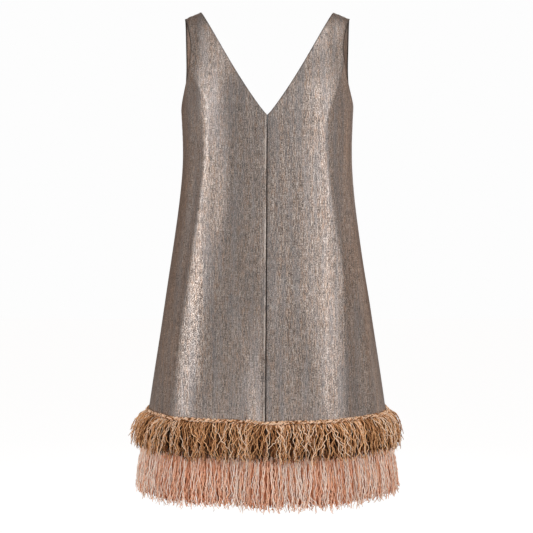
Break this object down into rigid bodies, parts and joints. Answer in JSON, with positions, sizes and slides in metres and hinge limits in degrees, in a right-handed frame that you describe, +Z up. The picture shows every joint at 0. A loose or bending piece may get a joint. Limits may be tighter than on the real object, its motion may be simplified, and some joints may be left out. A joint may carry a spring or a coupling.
{
  "type": "fringe mini dress",
  "caption": "Sleeveless A-line mini dress in woven metallic cloth with a V neck and tiered fringe trims round its hem, filled out as if worn.",
  "frame": {"origin": "midway between the two shoulder seams, level with their armhole ends, where a wearer's shoulders carry the straps", "axes": "+Z up, the front faces -Y, +X to the wearer's left"},
  "size_m": [0.479, 0.3755, 0.8664],
  "materials": {
    "cloth": "woven metallic lame, taupe, with fine vertical slubs",
    "camel_yarn": "crinkled matt yarn, camel brown",
    "blush_yarn": "crinkled matt yarn, blush pink"
  },
  "bodies": {
    "root": {"front_left": "cloth", "front_right": "cloth", "back": "cloth", "fringe_upper": "camel_yarn", "fringe_lower": "blush_yarn"}
  },
  "joints": []
}
